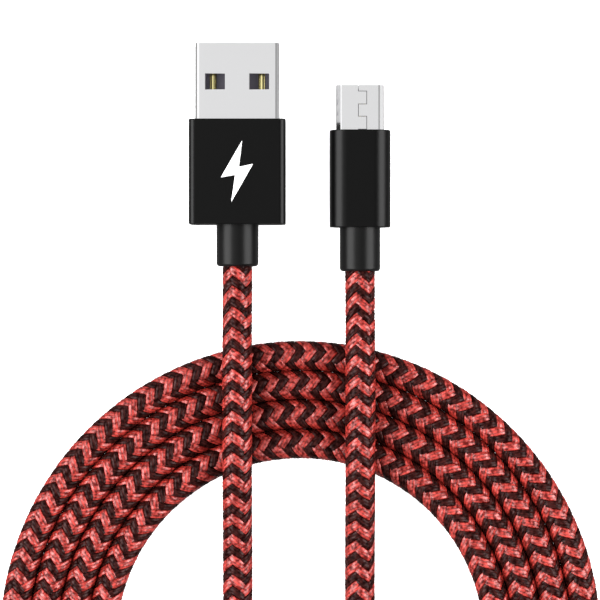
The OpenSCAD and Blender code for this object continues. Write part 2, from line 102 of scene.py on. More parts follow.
def linear(hex_colour: str) -> tuple[float, float, float, float]:
    """Turns an sRGB hex colour such as "#d9dadb" into linear red, green, blue and alpha."""
    channels = [int(hex_colour[i : i + 2], 16) / 255 for i in (1, 3, 5)]
    return (*[c / 12.92 if c <= 0.04045 else ((c + 0.055) / 1.055) ** 2.4 for c in channels], 1.0)


def add_node(tree: bpy.types.NodeTree, kind: str, settings: dict, links: dict) -> bpy.types.Node:
    """Adds a shader node.

    Args:
        tree: The node tree that gets it.
        kind: The node's type, such as "ShaderNodeTexNoise".
        settings: Properties by name, and input values by socket name or number.
        links: Output sockets by the name or number of the input they go to.

    Returns:
        The new node.
    """
    node = tree.nodes.new(kind)
    for key, value in settings.items():
        if isinstance(key, int) or key in node.inputs:
            node.inputs[key].default_value = value
        else:
            setattr(node, key, value)
    for key, output in links.items():
        tree.links.new(output, node.inputs[key])
    return node


def principled(name: str, values: dict) -> tuple[bpy.types.Material, bpy.types.NodeTree, bpy.types.Node]:
    """Makes a material with one principled shader.

    Args:
        name: The material's name.
        values: Input values of the shader by socket name.

    Returns:
        The material, its node tree and its shader node.
    """
    material = bpy.data.materials.new(name)
    material.use_nodes = True
    tree = material.node_tree
    tree.nodes.clear()
    shader = add_node(tree, "ShaderNodeBsdfPrincipled", values, {})
    add_node(tree, "ShaderNodeOutputMaterial", {}, {"Surface": shader.outputs["BSDF"]})
    return material, tree, shader


def maths(
    tree: bpy.types.NodeTree, operation: str, links: dict, value: float | None = None
) -> bpy.types.NodeSocket:
    """Adds a math node.

    Args:
        tree: The node tree that gets it.
        operation: What it works out.
        links: Output sockets by the number of the input they go to.
        value: The second input, where that is a constant.

    Returns:
        Its result.
    """
    settings = {"operation": operation} if value is None else {"operation": operation, 1: value}
    return add_node(tree, "ShaderNodeMath", settings, links).outputs[0]


def remapped(
    tree: bpy.types.NodeTree, value: bpy.types.NodeSocket, source: Span = (0, 1), target: Span = (0, 1)
) -> bpy.types.NodeSocket:
    """Maps a value from one range onto another and keeps it inside.

    Args:
        tree: The node tree.
        value: The value.
        source: The range it comes from.
        target: The range it goes to.

    Returns:
        The mapped value.
    """
    ends = {"From Min": source[0], "From Max": source[1], "To Min": target[0], "To Max": target[1]}
    return add_node(tree, "ShaderNodeMapRange", ends, {"Value": value}).outputs[0]


def noise_on(
    tree: bpy.types.NodeTree, place: bpy.types.NodeSocket, scale: float, detail: float
) -> bpy.types.NodeSocket:
    """Adds a noise texture.

    Args:
        tree: The node tree.
        place: Its coordinates.
        scale: How many grains fit in one unit of them.
        detail: How many finer layers it has.

    Returns:
        The noise, around 0.5.
    """
    settings = {"Scale": scale, "Detail": detail}
    return add_node(tree, "ShaderNodeTexNoise", settings, {"Vector": place}).outputs[0]


def on_object(tree: bpy.types.NodeTree, settings: dict) -> bpy.types.NodeSocket:
    """Returns Object coordinates put through a mapping with the given settings."""
    place = add_node(tree, "ShaderNodeTexCoord", {}, {})
    return add_node(tree, "ShaderNodeMapping", settings, {"Vector": place.outputs["Object"]}).outputs[0]


def tinted(
    tree: bpy.types.NodeTree,
    shader: bpy.types.Node,
    share: bpy.types.NodeSocket,
    low: Sequence[float],
    high: Sequence[float],
    clamped: bool = True,
) -> None:
    """Mixes a shader's base colour from two.

    Args:
        tree: The material's node tree.
        shader: The shader.
        share: How much of the second colour there is.
        low: The first colour.
        high: The second colour.
        clamped: Whether the share is kept between 0 and 1.
    """
    settings = {"data_type": "RGBA", "clamp_factor": clamped, 6: low, 7: high}
    shade = add_node(tree, "ShaderNodeMix", settings, {0: share})
    tree.links.new(shade.outputs[2], shader.inputs["Base Color"])


def raised(
    tree: bpy.types.NodeTree,
    shader: bpy.types.Node,
    height: bpy.types.NodeSocket,
    depth: float,
    strength: float = 1.0,
) -> None:
    """Gives a shader a bump.

    Args:
        tree: The material's node tree.
        shader: The shader whose normal it moves.
        height: The bump's height, from 0 to 1.
        depth: The height of 1, in metres.
        strength: How strongly it shows.
    """
    bump = add_node(tree, "ShaderNodeBump", {"Strength": strength, "Distance": depth}, {"Height": height})
    tree.links.new(bump.outputs[0], shader.inputs["Normal"])


@dataclass(frozen=True)
class SatinMetal:
    """A metal face with a fine drawn or blasted grain, such as nickel plate or anodised aluminium."""

    name: str
    colour: str
    roughness: float
    grain: float = 0.12 * MM
    depth: float = 0.0006 * MM
    drawn: float = 1.0
    roughness_swing: float = 0.06
    detail: float = 3.0

    def material(self) -> bpy.types.Material:
        """Builds the material, with its grain and a slow change of gloss.

        Returns:
            The material.
        """
        values = {"Base Color": linear(self.colour), "Metallic": 1.0, "Roughness": self.roughness}
        made, tree, shader = principled(self.name, values)
        place = on_object(tree, {"Scale": (1, 1 / self.drawn, 1)})
        grain = noise_on(tree, place, 1 / self.grain, self.detail)
        raised(tree, shader, grain, self.depth)
        ends = (self.roughness - self.roughness_swing, self.roughness + self.roughness_swing)
        tree.links.new(remapped(tree, grain, target=ends), shader.inputs["Roughness"])
        return made


@dataclass(frozen=True)
class MouldedPlastic:
    """A moulded plastic or rubber face with a faint mould grain."""

    name: str
    colour: str
    roughness: float
    ior: float = 1.5
    gloss: float = 0.5
    grain: float = 0.15 * MM
    depth: float = 0.001 * MM
    detail: float = 3.0
    tones: Span = (0.85, 1.1)

    def material(self) -> bpy.types.Material:
        """Builds the material, a shade lighter and darker from place to place.

        Returns:
            The material.
        """
        tone = linear(self.colour)
        values = {"Base Color": tone, "Roughness": self.roughness, "IOR": self.ior}
        values["Specular IOR Level"] = self.gloss
        made, tree, shader = principled(self.name, values)
        grain = noise_on(tree, on_object(tree, {}), 1 / self.grain, self.detail)
        raised(tree, shader, grain, self.depth)
        low, high = ((*(c * share for c in tone[:3]), 1) for share in self.tones)
        tinted(tree, shader, grain, low, high)
        return made


@dataclass(frozen=True)
class NylonYarn:
    """Filament nylon yarn: plies side by side, each of fine filaments that run along it.

    The piece's UV map runs across the yarn from 0 to 1 and along it in millimetres, and its attribute
    "rise" tells how far the yarn has come up out of the braid. Its colour is painted darker between
    its plies and where it dives: painted shade.
    """

    name: str
    crest: str
    # The colour of the painted shade, between plies and where the yarn dives.
    groove_shade: str
    roughness: float
    gloss: float
    sheen: float
    ior: float = 1.53
    sheen_roughness: float = 0.4
    plies: int = 3
    ply_flatness: float = 0.5
    ply_range: Span = (0.3, 1.2)
    # How dark the painted shade between plies gets, from the grooves to the crests.
    ply_shade: Span = (0.3, 1.0)
    filaments: int = 7
    streaks_per_mm: float = 1.6
    streak_height: float = 0.35
    streak_detail: float = 2.0
    depth: float = 0.04 * MM
    strength: float = 0.8
    patch: float = 0.5 * MM
    patch_range: Span = (0.33, 0.67)
    patch_tones: Span = (0.2, 1.5)

    def material(self) -> bpy.types.Material:
        """Builds the material: rounded plies, streaks, painted shade between plies and where the yarn dives,
        and patches of shine.

        Returns:
            The material.
        """
        crest, groove_shade = linear(self.crest), linear(self.groove_shade)
        values = {
            "Roughness": self.roughness,
            "IOR": self.ior,
            "Sheen Weight": self.sheen,
            "Sheen Roughness": self.sheen_roughness,
            "Sheen Tint": crest,
        }
        made, tree, shader = principled(self.name, values)
        place = add_node(tree, "ShaderNodeUVMap", {"uv_map": "yarn"}, {}).outputs[0]
        across = add_node(tree, "ShaderNodeSeparateXYZ", {}, {0: place}).outputs[0]
        wave = maths(tree, "SINE", {0: maths(tree, "MULTIPLY", {0: across}, math.pi * self.plies)})
        ply = maths(tree, "POWER", {0: maths(tree, "ABSOLUTE", {0: wave})}, self.ply_flatness)
        fine = {"Scale": (self.filaments * self.plies, self.streaks_per_mm, 1)}
        along = add_node(tree, "ShaderNodeMapping", fine, {"Vector": place}).outputs[0]
        streaks = noise_on(tree, along, 1.0, self.streak_detail)
        height = maths(tree, "MULTIPLY_ADD", {0: streaks, 2: ply}, self.streak_height)
        raised(tree, shader, height, self.depth, self.strength)
        rise = add_node(tree, "ShaderNodeAttribute", {"attribute_name": "rise"}, {}).outputs["Fac"]
        # Painted shade: darker between the plies and where the yarn dives under others.
        lit = maths(tree, "MULTIPLY", {0: remapped(tree, height, self.ply_range, self.ply_shade), 1: rise})
        around = add_node(tree, "ShaderNodeTexCoord", {}, {}).outputs["Object"]
        patch = noise_on(tree, around, 1 / self.patch, 1.0)
        patches = remapped(tree, patch, self.patch_range, self.patch_tones)
        tree.links.new(maths(tree, "MULTIPLY", {0: patches}, self.gloss), shader.inputs["Specular IOR Level"])
        tinted(tree, shader, maths(tree, "MULTIPLY", {0: lit, 1: patches}), groove_shade, crest, clamped=False)
        return made


@dataclass(frozen=True)
class WovenShield:
    """Fine tinned wire wound around a core: bright lines that slant round it."""

    name: str
    colour: str
    roughness: float = 0.35
    slant: tuple[float, float, float] = (0, math.radians(20), math.radians(30))
    waves_per_metre: float = 0.16 / (0.12 * MM)
    unevenness: float = 0.5
    depth: float = 0.03 * MM

    def material(self) -> bpy.types.Material:
        """Builds the material with a slanting wave for the wires.

        Returns:
            The material.
        """
        values = {"Base Color": linear(self.colour), "Metallic": 1.0, "Roughness": self.roughness}
        made, tree, shader = principled(self.name, values)
        place = on_object(tree, {"Rotation": self.slant})
        settings = {"Scale": self.waves_per_metre, "Distortion": self.unevenness}
        wires = add_node(tree, "ShaderNodeTexWave", settings, {"Vector": place})
        raised(tree, shader, wires.outputs["Fac"], self.depth)
        return made


class Finish(Enum):
    """Every finish of the cable, by the part that has it."""

    # Bright nickel over stamped steel: it mirrors what is above it, softly.
    NICKEL_PLATE = SatinMetal("nickel_plated_steel", "#ededee", 0.13, drawn=6.0, roughness_swing=0.03)
    # Bead-blasted aluminium, dyed black: a dark metal with a soft highlight.
    BLACK_ANODISED = SatinMetal(
        "black_anodised_aluminium", "#1c1c1c", 0.33, grain=0.09 * MM, depth=0.0015 * MM
    )
    # Hard gold over nickel on the contacts.
    GOLD_PLATE = SatinMetal("gold_plated_contact", "#efe3a2", 0.16, drawn=8.0)
    # Stainless spring steel, as stamped.
    SPRING_STEEL = SatinMetal("stamped_spring_steel", "#b9b9ba", 0.28, drawn=8.0)
    # Bare stranded copper.
    COPPER = SatinMetal("bare_copper", "#c98a5e", 0.35, grain=0.05 * MM, depth=0.004 * MM)
    # Lead-free solder: bright, slightly rough.
    SOLDER = SatinMetal("tin_solder", "#c9cacb", 0.3, grain=0.2 * MM, depth=0.01 * MM)
    # Crimped aluminium ferrule.
    FERRULE = SatinMetal("crimped_aluminium", "#b4b5b7", 0.35, drawn=3.0)
    # Thermoplastic rubber: black with a broad satin highlight.
    BOOT = MouldedPlastic("black_tpe_rubber", "#080808", 0.33, gloss=0.13, depth=0.002 * MM)
    # Glass-filled nylon, moulded black.
    INSULATOR = MouldedPlastic("dark_moulded_nylon", "#5a5662", 0.5)
    # Low-pressure moulding around the joints.
    MOULD = MouldedPlastic("moulded_polyethylene", "#3b4043", 0.55)
    # The cord's own PVC jacket.
    JACKET = MouldedPlastic("black_pvc_jacket", "#121212", 0.5)
    # Soft PVC around each wire.
    WIRE_RED = MouldedPlastic("red_pvc_insulation", "#b51f1c", 0.4)
    WIRE_WHITE = MouldedPlastic("white_pvc_insulation", "#e6e6e2", 0.4)
    WIRE_GREEN = MouldedPlastic("green_pvc_insulation", "#1d7a34", 0.4)
    WIRE_BLACK = MouldedPlastic("black_pvc_insulation", "#161616", 0.4)
    # White pad-printing ink.
    WHITE_INK = MouldedPlastic("white_printing_ink", "#f4f4f4", 0.6, depth=0.0004 * MM)
    # Tinned copper wire.
    SHIELD = WovenShield("tinned_wire_shield", "#c4c4c4")
    # Filament nylon of the braid, with painted shade: darker between its plies and where it dives
    # under other yarns, lighter where it lies on top.
    YARN_RED = NylonYarn("red_nylon_yarn", "#962a23", "#2c0202", roughness=0.34, gloss=0.42, sheen=0.12)
    YARN_BLACK = NylonYarn("black_nylon_yarn", "#2c0f0d", "#060101", roughness=0.24, gloss=0.06, sheen=0.0)

    def material(self) -> bpy.types.Material:
        """Returns this finish's material, which is built once."""
        return bpy.data.materials.get(self.value.name) or self.value.material()


# The finish and the record's slot of each kind of CAD node, by the end of the node's name.
NODE_FINISHES = {
    "_shell": (Finish.NICKEL_PLATE, "nickel_steel"),
    "_insulator": (Finish.INSULATOR, "insulator"),
    "_vbus": (Finish.GOLD_PLATE, "gold_plate"),
    "_data_minus": (Finish.GOLD_PLATE, "gold_plate"),
    "_data_plus": (Finish.GOLD_PLATE, "gold_plate"),
    "_id": (Finish.GOLD_PLATE, "gold_plate"),
    "_ground": (Finish.GOLD_PLATE, "gold_plate"),
    "_solder_joints": (Finish.SOLDER, "solder"),
    "_conductor_tips": (Finish.COPPER, "tinned_copper"),
    "_wire_red": (Finish.WIRE_RED, "wire_red"),
    "_wire_white": (Finish.WIRE_WHITE, "wire_white"),
    "_wire_green": (Finish.WIRE_GREEN, "wire_green"),
    "_wire_black": (Finish.WIRE_BLACK, "wire_black"),
    "_cord_shield": (Finish.SHIELD, "shield"),
    "_cord_jacket": (Finish.JACKET, "jacket"),
    "_cord_braid": (Finish.JACKET, "braid"),
    "_crimp_ferrule": (Finish.FERRULE, "ferrule"),
    "_inner_mould": (Finish.MOULD, "mould"),
    "_sleeve": (Finish.BLACK_ANODISED, "anodised_black"),
    "_boot": (Finish.BOOT, "boot"),
    "_latch_left": (Finish.SPRING_STEEL, "latch_steel"),
    "_latch_right": (Finish.SPRING_STEEL, "latch_steel"),
}


def finish_of(node: str) -> tuple[Finish, str]:
    """Returns the finish and the record's slot of a CAD node."""
    return next(found for ending, found in NODE_FINISHES.items() if node.endswith(ending))


# ---------------------------------------------------------------- mesh helpers


def dress(
    name: str, mesh: bpy.types.Mesh, finish: Finish, body: str = BODY, replaced: Sequence[str] = ()
) -> bpy.types.Object:
    """Makes an object of a mesh, smooth and with its finish, and lets it ride on a body.

    Args:
        name: The piece's name.
        mesh: Its shape.
        finish: Its finish.
        body: The CAD body it moves with.
        replaced: The CAD nodes it stands for.

    Returns:
        The new object.
    """
    mesh.polygons.foreach_set("use_smooth", [True] * len(mesh.polygons))
    mesh.materials.clear()
    mesh.materials.append(finish.material())
    made = bpy.data.objects.new(name, mesh)
    bpy.context.scene.collection.objects.link(made)
    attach(made, body)
    if replaced:
        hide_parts(*replaced)
    log.info("piece %s: %d faces, rides on %s", name, len(mesh.polygons), body)
    return made


def mesh_of(name: str, bm: bmesh.types.BMesh) -> bpy.types.Mesh:
    """Turns a bmesh, which is freed, into a mesh."""
    mesh = bpy.data.meshes.new(name)
    bm.to_mesh(mesh)
    bm.free()
    return mesh


def piece_for(node: str, name: str, bm: bmesh.types.BMesh, body: str = BODY) -> bpy.types.Object:
    """Turns a bmesh into the piece that stands for a CAD node, with that node's finish.

    Args:
        node: The CAD node.
        name: The piece's name.
        bm: Its shape, which is freed.
        body: The CAD body it moves with.

    Returns:
        The new object.
    """
    finish, slot = finish_of(node)
    return dress(name, mesh_of(name, bm), finish, body, [node])


def outline(corners: Sequence[Span], radius: float, segments: int) -> bmesh.types.BMesh:
    """Makes one flat face in X and Z with round corners, seen from -Y in order round it.

    Args:
        corners: The sharp corners in X and Z.
        radius: The radius of every corner.
        segments: The pieces of each arc.

    Returns:
        A bmesh that holds the face at Y = 0.
    """
    bm = bmesh.new()
    bm.faces.new([bm.verts.new((x, 0, z)) for x, z in corners])
    if radius > 0:
        round_corners(bm, radius, segments)
    return bm


def round_corners(bm: bmesh.types.BMesh, radius: float, segments: int) -> None:
    """Rounds every corner of a flat face.

    Args:
        bm: The face.
        radius: The corners' radius.
        segments: The pieces of each arc.
    """
    bmesh.ops.bevel(
        bm,
        geom=bm.verts[:],
        offset=radius,
        offset_type="OFFSET",
        segments=segments,
        profile=0.5,
        affect="VERTICES",
        material=-1,
    )


def rectangle(width: float, height: float) -> list[Span]:
    """Returns the four corners of a rectangle centred on the origin, in X and Z."""
    w, h = width / 2, height / 2
    return [(-w, -h), (w, -h), (w, h), (-w, h)]


def drawn_out(bm: bmesh.types.BMesh, rear: float, front: float) -> bmesh.types.BMesh:
    """Draws a flat outline out along Y, as a closed solid.

    Args:
        bm: The outline, which becomes the solid.
        rear: Where it begins.
        front: Where it ends.

    Returns:
        The solid.
    """
    bmesh.ops.translate(bm, verts=bm.verts[:], vec=(0, rear, 0))
    grown = bmesh.ops.extrude_face_region(bm, geom=bm.faces[:])
    moved = [v for v in grown["geom"] if isinstance(v, bmesh.types.BMVert)]
    bmesh.ops.translate(bm, verts=moved, vec=(0, front - rear, 0))
    bmesh.ops.recalc_face_normals(bm, faces=bm.faces[:])
    return bm


def rim_edges(bm: bmesh.types.BMesh, y: float) -> list[bmesh.types.BMEdge]:
    """Returns the edges that lie on the plane at y."""
    return [e for e in bm.edges if all(abs(v.co.y - y) < TINY for v in e.verts)]


def eased(bm: bmesh.types.BMesh, edges: list[bmesh.types.BMEdge], width: float, segments: int = 3) -> None:
    """Rounds some edges of a bmesh.

    Args:
        bm: The shape.
        edges: Its edges to be rounded.
        width: How far each face is cut back.
        segments: The pieces of each arc.
    """
    bmesh.ops.bevel(
        bm,
        geom=edges,
        offset=width,
        offset_type="OFFSET",
        segments=segments,
        profile=0.5,
        affect="EDGES",
        material=-1,
        clamp_overlap=True,
    )


def block(low: Sequence[float], high: Sequence[float]) -> bmesh.types.BMesh:
    """Makes a box.

    Args:
        low: Its lowest corner.
        high: Its highest corner.

    Returns:
        The box.
    """
    bm = bmesh.new()
    bmesh.ops.create_cube(bm, size=1.0)
    middle, size = (Vector(low) + Vector(high)) / 2, Vector(high) - Vector(low)
    bmesh.ops.scale(bm, verts=bm.verts[:], vec=size)
    bmesh.ops.translate(bm, verts=bm.verts[:], vec=middle)
    return bm


def carved(body: bmesh.types.BMesh, cutters: Iterable[bmesh.types.BMesh]) -> bmesh.types.BMesh:
    """Cuts closed shapes out of a closed shape.

    Args:
        body: The shape that is cut, which is freed.
        cutters: The shapes taken away, which are freed.

    Returns:
        The shape that is left.
    """

    main, *tools = (bpy.data.objects.new("scratch", mesh_of("scratch", bm)) for bm in (body, *cutters))
    for spare in (main, *tools):
        bpy.context.scene.collection.objects.link(spare)
    for tool in tools:
        cut = main.modifiers.new("cut", "BOOLEAN")
        cut.operation = "DIFFERENCE"
        cut.solver = "EXACT"
        cut.object = tool
    bpy.context.view_layer.update()
    shaped = bpy.data.meshes.new_from_object(main.evaluated_get(bpy.context.evaluated_depsgraph_get()))
    bm = bmesh.new()
    bm.from_mesh(shaped)
    for spare in [main, *tools]:
        bpy.data.objects.remove(spare)
    bpy.data.meshes.remove(shaped)
    return bm


@dataclass(frozen=True)
class Opening:
    """An opening through the top (side 1) or the bottom (side -1) of a folded shell."""

    x: Span
    y: Span
    side: int

    def holds(self, point: Vector) -> bool:
        """Tells whether a point of the shell lies in the opening."""
        return self.x[0] < point.x < self.x[1] and self.y[0] < point.y < self.y[1] and point.z * self.side > 0


def folded(
    bm: bmesh.types.BMesh, wall: float, rear: float, front: float, openings: Sequence[Opening]
) -> bmesh.types.BMesh:
    """Folds sheet metal into a tube along Y, with openings through its flat sides.

    Args:
        bm: The tube's outer outline, as one flat face in X and Z.
        wall: The sheet's thickness, which grows inwards.
        rear: Where the tube begins.
        front: Where it ends.
        openings: Its openings.

    Returns:
        The closed shape.
    """
    bmesh.ops.delete(bm, geom=bm.faces[:], context="FACES_ONLY")
    bmesh.ops.translate(bm, verts=bm.verts[:], vec=(0, rear, 0))
    grown = bmesh.ops.extrude_edge_only(bm, edges=bm.edges[:])
    bmesh.ops.translate(
        bm, verts=[v for v in grown["geom"] if isinstance(v, bmesh.types.BMVert)], vec=(0, front - rear, 0)
    )
    for opening in openings:
        for direction, places in ((Vector((1, 0, 0)), opening.x), (Vector((0, 1, 0)), opening.y)):
            for place in places:
                everything = [*bm.verts, *bm.edges, *bm.faces]
                bmesh.ops.bisect_plane(
                    bm, geom=everything, dist=TINY, plane_co=direction * place, plane_no=direction
                )
    cut = [f for f in bm.faces if any(o.holds(f.calc_center_median()) for o in openings)]
    bmesh.ops.delete(bm, geom=cut, context="FACES")
    bmesh.ops.recalc_face_normals(bm, faces=bm.faces[:])
    bmesh.ops.solidify(bm, geom=bm.faces[:], thickness=wall)
    bmesh.ops.recalc_face_normals(bm, faces=bm.faces[:])
    return bm


def joined(bm: bmesh.types.BMesh, other: bmesh.types.BMesh) -> bmesh.types.BMesh:
    """Adds a second shape to a first one.

    Args:
        bm: The first shape.
        other: The second shape, which is freed.

    Returns:
        The first shape with both.
    """
    mesh = mesh_of("scratch", other)
    bm.from_mesh(mesh)
    bpy.data.meshes.remove(mesh)
    return bm


def moved(bm: bmesh.types.BMesh, place: Sequence[float]) -> bmesh.types.BMesh:
    """Moves a whole bmesh."""
    bmesh.ops.translate(bm, verts=bm.verts[:], vec=place)
    return bm


def eased_edges(piece: bpy.types.Object, width: float, segments: int = 2, angle: float = 30) -> None:
    """Rounds a piece's sharp edges with a live bevel that keeps its flat faces flat.

    Args:
        piece: The piece.
        width: How far each face is cut back.
        segments: The pieces of each arc.
        angle: The least angle of an edge that is rounded, in degrees.
    """
    edge = piece.modifiers.new("eased_edges", "BEVEL")
    edge.width = width
    edge.segments = segments
    edge.limit_method = "ANGLE"
    edge.angle_limit = math.radians(angle)
    edge.use_clamp_overlap = True
    edge.face_strength_mode = "FSTR_AFFECTED"
    flat = piece.modifiers.new("flat_faces", "WEIGHTED_NORMAL")
    flat.mode = "FACE_AREA"
    flat.weight = 100
    flat.use_face_influence = True


def crisp_edges(piece: bpy.types.Object, angle: float = 30) -> None:
    """Keeps a piece's edges over an angle sharp, and its flat faces flat beside its small arcs.

    Args:
        piece: The piece.
        angle: The least angle of a sharp edge, in degrees.
    """
    piece.data.set_sharp_from_angle(angle=math.radians(angle))
    flat = piece.modifiers.new("flat_faces", "WEIGHTED_NORMAL")
    flat.mode = "FACE_AREA"
    flat.weight = 100
    flat.keep_sharp = True


def copy_of(node: str) -> bmesh.types.BMesh:
    """Copies a CAD node's shape, with its triangles merged into whole faces.

    Args:
        node: The CAD node.

    Returns:
        The copy.
    """
    bm = bmesh.new()
    bm.from_mesh(frame["nodes"][node].data)
    bmesh.ops.remove_doubles(bm, verts=bm.verts[:], dist=10 * TINY)
    bmesh.ops.dissolve_limit(
        bm, angle_limit=math.radians(1), verts=bm.verts[:], edges=bm.edges[:], use_dissolve_boundaries=False
    )
    return bm


def softened(node: str, name: str, width: float, body: str = BODY) -> bpy.types.Object:
    """Makes a piece of a CAD node's own shape with eased edges.

    Args:
        node: The CAD node.
        name: The piece's name.
        width: The width of the eased edges.
        body: The CAD body it moves with.

    Returns:
        The new object.
    """
    piece = piece_for(node, name, copy_of(node), body)
    eased_edges(piece, width)
    return piece


# ---------------------------------------------------------------- the cord


@dataclass
class CordRoute:
    """The middle line of the cord, with an upright frame at each of its points."""

    tail_a: Sequence[tuple[float, float, float]]
    tail_b: Sequence[tuple[float, float, float]]
    centre: Span = (1.5 * MM, -69.5 * MM)
    inner_radius: float = 28.5 * MM
    diameter: float = 4.2 * MM
    turns: int = 4
    from_angle: float = -44.0
    to_angle: float = 198.0
    step_over: Span = (208.0, 272.0)
    angle_step: float = 8.0
    inside_boots: float = 2.0 * MM
    fine_step: float = 0.25 * MM
    smoothing: float = 1.2 * MM

    def turn_radius(self, angle: float) -> float:
        """Works out how far the coil's middle line is from its centre.

        Args:
            angle: The angle in degrees, counted on through all turns.

        Returns:
            The radius there.
        """
        radius = self.inner_radius + (self.turns - 1) * self.diameter
        start, end = self.step_over
        for turn in range(self.turns - 1):
            share = min(1.0, max(0.0, (angle - 360 * turn - start) / (end - start)))
            radius -= self.diameter * share * share * (3 - 2 * share)
        return radius

    def coil(self) -> list[tuple[float, float, float]]:
        """Lays out the coil's turns.

        Returns:
            Their points, from the outermost turn inwards.
        """
        last = self.to_angle + 360 * (self.turns - 1)
        count = round((last - self.from_angle) / self.angle_step)
        points = []
        for i in range(count + 1):
            angle = self.from_angle + (last - self.from_angle) * i / count
            radius, turned = self.turn_radius(angle), math.radians(angle)
            x = self.centre[0] + radius * math.cos(turned)
            y = self.centre[1] + radius * math.sin(turned)
            points.append((x, y, self.diameter / 2))
        return points

    def points(self) -> np.ndarray:
        """Joins the two tails and the coil.

        Returns:
            The route's own points, from inside one boot to inside the other.
        """
        a = [tuple(c * MM for c in p) for p in self.tail_a]
        b = [tuple(c * MM for c in p) for p in self.tail_b]
        inside_a = (a[0][0], a[0][1] + self.inside_boots, a[0][2])
        inside_b = (b[0][0], b[0][1] + self.inside_boots, b[0][2])
        return np.array([inside_a, *a, *self.coil(), *b[::-1], inside_b])

    def line(self) -> np.ndarray:
        """Runs a smooth line through the route's points.

        Returns:
            Points on the line at even steps.
        """
        fine = even_steps(spline_through(self.points()), self.fine_step)
        reach = round(3 * self.smoothing / self.fine_step)
        weights = np.exp(-0.5 * (np.arange(-reach, reach + 1) * self.fine_step / self.smoothing) ** 2)
        weights /= weights.sum()
        padded = np.vstack([2 * fine[0] - fine[reach:0:-1], fine, 2 * fine[-1] - fine[-2 : -reach - 2 : -1]])
        smooth = np.stack([np.convolve(padded[:, k], weights, mode="valid") for k in range(3)], axis=1)
        return even_steps(smooth, self.fine_step)


def spline_through(points: np.ndarray, per_span: int = 12) -> np.ndarray:
    """Runs a smooth cubic curve through points.

    Args:
        points: The points, one row each.
        per_span: How many points the result has between two of them.

    Returns:
        Points on the curve.
    """
    along = np.concatenate([[0], np.cumsum(np.linalg.norm(np.diff(points, axis=0), axis=1))])
    gap, count = np.diff(along), len(points)
    system, right = np.eye(count), np.zeros((count, 3))
    for i in range(1, count - 1):
        system[i, i - 1 : i + 2] = gap[i - 1], 2 * (gap[i - 1] + gap[i]), gap[i]
        right[i] = 6 * ((points[i + 1] - points[i]) / gap[i] - (points[i] - points[i - 1]) / gap[i - 1])
    bend = np.linalg.solve(system, right)
    found = []
    for i in range(count - 1):
        for share in np.arange(per_span) / per_span:
            t, g = share * gap[i], gap[i]
            slope = (points[i + 1] - points[i]) / g - g * (2 * bend[i] + bend[i + 1]) / 6
            cubic = (bend[i + 1] - bend[i]) * t**3 / (6 * g)
            found.append(points[i] + slope * t + bend[i] * t * t / 2 + cubic)
    return np.array([*found, points[-1]])


def even_steps(line: np.ndarray, step: float) -> np.ndarray:
    """Divides a line anew.

    Args:
        line: Its points.
        step: About how far apart the new points are.

    Returns:
        Points on the line at even steps.
    """
    along = np.concatenate([[0], np.cumsum(np.linalg.norm(np.diff(line, axis=0), axis=1))])
    at = np.linspace(0, along[-1], max(2, round(along[-1] / step) + 1))
    return np.stack([np.interp(at, along, line[:, k]) for k in range(3)], axis=1)


class Lay(Enum):
    """Which way a yarn winds round the cord."""

    LEFT = -1
    RIGHT = 1


